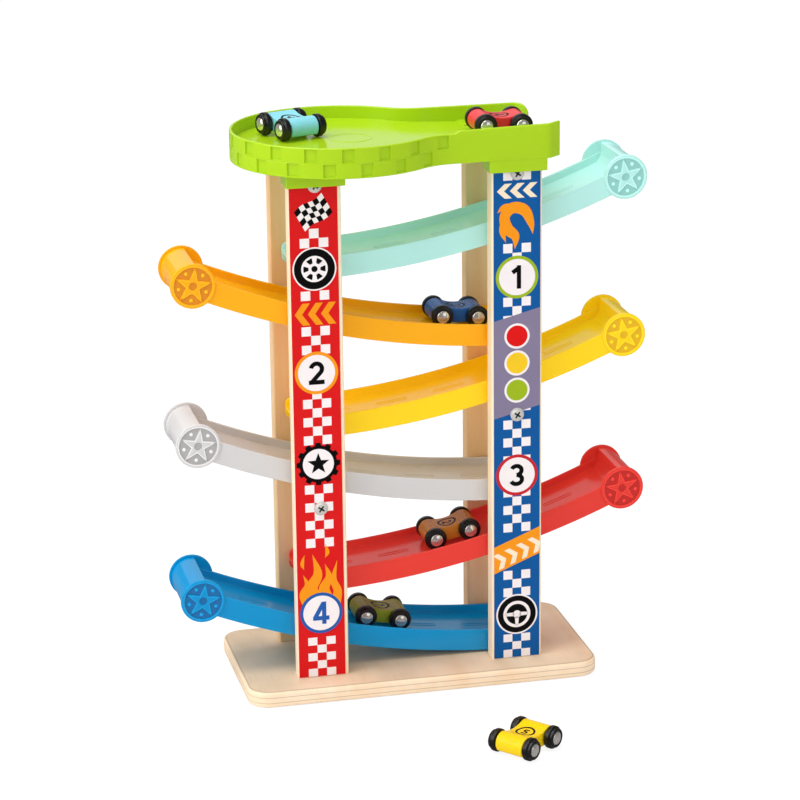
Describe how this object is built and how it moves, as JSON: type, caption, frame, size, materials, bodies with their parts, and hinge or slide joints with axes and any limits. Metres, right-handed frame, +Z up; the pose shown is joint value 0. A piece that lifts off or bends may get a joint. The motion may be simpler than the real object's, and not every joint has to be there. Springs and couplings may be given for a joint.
{
  "type": "click clack track toy",
  "caption": "Wooden car ramp toy: a board with posts carries zigzag moulded tracks with curled ends and a dished tray on top, with little cars that roll down them.",
  "frame": {"origin": "middle of the base board's underside", "axes": "+X to the right seen from the printed front, +Y to the back, +Z up"},
  "size_m": [0.344, 0.2793, 0.4131],
  "materials": {
    "base_plywood": "sanded birch plywood, clear matt varnish",
    "post_wood": "sanded birch, clear matt varnish",
    "dowel_wood": "sanded beech",
    "red_print": "printed sticker, satin",
    "blue_print": "printed sticker, satin",
    "lime_plastic": "moulded, glossy",
    "blue_plastic": "moulded, glossy",
    "red_plastic": "moulded, glossy",
    "gray_plastic": "moulded, glossy",
    "yellow_plastic": "moulded, glossy",
    "orange_plastic": "moulded, glossy",
    "mint_plastic": "moulded, glossy",
    "screw_steel": "zinc plated",
    "navy_paint": "lacquered wood, satin",
    "copper_paint": "lacquered wood, satin",
    "olive_paint": "lacquered wood, satin",
    "red_paint": "lacquered wood, satin",
    "sky_paint": "lacquered wood, satin",
    "yellow_paint": "lacquered wood, satin",
    "wheel_black": "moulded, satin",
    "hub_chrome": "polished"
  },
  "bodies": {
    "stand": {"base_board": "base_plywood", "front_left_post": "post_wood", "front_right_post": "post_wood", "rear_left_post": "post_wood", "rear_right_post": "post_wood", "front_left_decal": "red_print", "front_right_decal": "blue_print", "top_tray": "lime_plastic", "blue_track": "blue_plastic", "red_track": "red_plastic", "gray_track": "gray_plastic", "yellow_track": "yellow_plastic", "orange_track": "orange_plastic", "mint_track": "mint_plastic", "left_top_dowel": "dowel_wood", "right_top_dowel": "dowel_wood", "left_middle_dowel": "dowel_wood", "right_middle_dowel": "dowel_wood", "post_screws": "screw_steel", "screw_washers": "screw_steel", "base_screws": "screw_steel"},
    "navy_car": {"navy_car_body": "navy_paint"},
    "navy_car_front_set": {"navy_car_front_axle": "hub_chrome", "navy_car_front_wheels": "wheel_black"},
    "navy_car_rear_set": {"navy_car_rear_axle": "hub_chrome", "navy_car_rear_wheels": "wheel_black"},
    "copper_car": {"copper_car_body": "copper_paint"},
    "copper_car_front_set": {"copper_car_front_axle": "hub_chrome", "copper_car_front_wheels": "wheel_black"},
    "copper_car_rear_set": {"copper_car_rear_axle": "hub_chrome", "copper_car_rear_wheels": "wheel_black"},
    "olive_car": {"olive_car_body": "olive_paint"},
    "olive_car_front_set": {"olive_car_front_axle": "hub_chrome", "olive_car_front_wheels": "wheel_black"},
    "olive_car_rear_set": {"olive_car_rear_axle": "hub_chrome", "olive_car_rear_wheels": "wheel_black"},
    "red_car": {"red_car_body": "red_paint"},
    "red_car_front_set": {"red_car_front_axle": "hub_chrome", "red_car_front_wheels": "wheel_black"},
    "red_car_rear_set": {"red_car_rear_axle": "hub_chrome", "red_car_rear_wheels": "wheel_black"},
    "sky_car": {"sky_car_body": "sky_paint"},
    "sky_car_front_set": {"sky_car_front_axle": "hub_chrome", "sky_car_front_wheels": "wheel_black"},
    "sky_car_rear_set": {"sky_car_rear_axle": "hub_chrome", "sky_car_rear_wheels": "wheel_black"},
    "yellow_car": {"yellow_car_body": "yellow_paint"},
    "yellow_car_front_set": {"yellow_car_front_axle": "hub_chrome", "yellow_car_front_wheels": "wheel_black"},
    "yellow_car_rear_set": {"yellow_car_rear_axle": "hub_chrome", "yellow_car_rear_wheels": "wheel_black"}
  },
  "joints": [
    {"name": "navy_car_roll", "type": "hinge", "parent": "stand", "child": "navy_car", "pos_m": [0.08804, 0, 0.85301], "axis": [0, 1, 0], "range_deg": [-2.7, 16.6]},
    {"name": "navy_car_front_spin", "type": "hinge", "parent": "navy_car", "child": "navy_car_front_set", "pos_m": [0.05063, 0, 0.26444], "axis": [0, 1, 0], "continuous": true},
    {"name": "navy_car_rear_spin", "type": "hinge", "parent": "navy_car", "child": "navy_car_rear_set", "pos_m": [0.02473, 0, 0.26667], "axis": [0, 1, 0], "continuous": true},
    {"name": "copper_car_roll", "type": "hinge", "parent": "stand", "child": "copper_car", "pos_m": [-0.08804, 0, 0.67865], "axis": [0, -1, 0], "range_deg": [-9.5, 9.8]},
    {"name": "copper_car_front_spin", "type": "hinge", "parent": "copper_car", "child": "copper_car_front_set", "pos_m": [0.04425, 0, 0.10393], "axis": [0, 1, 0], "continuous": true},
    {"name": "copper_car_rear_spin", "type": "hinge", "parent": "copper_car", "child": "copper_car_rear_set", "pos_m": [0.01879, 0, 0.09866], "axis": [0, 1, 0], "continuous": true},
    {"name": "olive_car_roll", "type": "hinge", "parent": "stand", "child": "olive_car", "pos_m": [0.08804, 0, 0.62053], "axis": [0, 1, 0], "range_deg": [-8.5, 10.8]},
    {"name": "olive_car_front_spin", "type": "hinge", "parent": "olive_car", "child": "olive_car_front_set", "pos_m": [-0.00865, 0, 0.03876], "axis": [0, 1, 0], "continuous": true},
    {"name": "olive_car_rear_spin", "type": "hinge", "parent": "olive_car", "child": "olive_car_rear_set", "pos_m": [-0.0342, 0, 0.04359], "axis": [0, 1, 0], "continuous": true},
    {"name": "red_car_roll", "type": "slide", "parent": "stand", "child": "red_car", "axis": [0.9993, 0, -0.0384], "range_m": [-0.045, 0.012]},
    {"name": "red_car_front_spin", "type": "hinge", "parent": "red_car", "child": "red_car_front_set", "pos_m": [0.08331, 0, 0.40186], "axis": [0, 1, 0], "continuous": true},
    {"name": "red_car_rear_spin", "type": "hinge", "parent": "red_car", "child": "red_car_rear_set", "pos_m": [0.05733, 0, 0.40285], "axis": [0, 1, 0], "continuous": true},
    {"name": "sky_car_roll", "type": "slide", "parent": "stand", "child": "sky_car", "axis": [-0.342, 0.9397, 0], "range_m": [-0.045, 0.006]},
    {"name": "sky_car_front_spin", "type": "hinge", "parent": "sky_car", "child": "sky_car_front_set", "pos_m": [-0.08015, 0.03062, 0.40505], "axis": [-0.9397, -0.342, 0], "continuous": true},
    {"name": "sky_car_rear_spin", "type": "hinge", "parent": "sky_car", "child": "sky_car_rear_set", "pos_m": [-0.07125, 0.00618, 0.40505], "axis": [-0.9397, -0.342, 0], "continuous": true},
    {"name": "yellow_car_roll", "type": "slide", "parent": "stand", "child": "yellow_car", "axis": [0.7771, 0.6293, 0], "range_m": [-0.05, 0.09]},
    {"name": "yellow_car_front_spin", "type": "hinge", "parent": "yellow_car", "child": "yellow_car_front_set", "pos_m": [0.0511, -0.17032, 0.0081], "axis": [-0.6293, 0.7771, 0], "continuous": true},
    {"name": "yellow_car_rear_spin", "type": "hinge", "parent": "yellow_car", "child": "yellow_car_rear_set", "pos_m": [0.0309, -0.18668, 0.0081], "axis": [-0.6293, 0.7771, 0], "continuous": true}
  ]
}
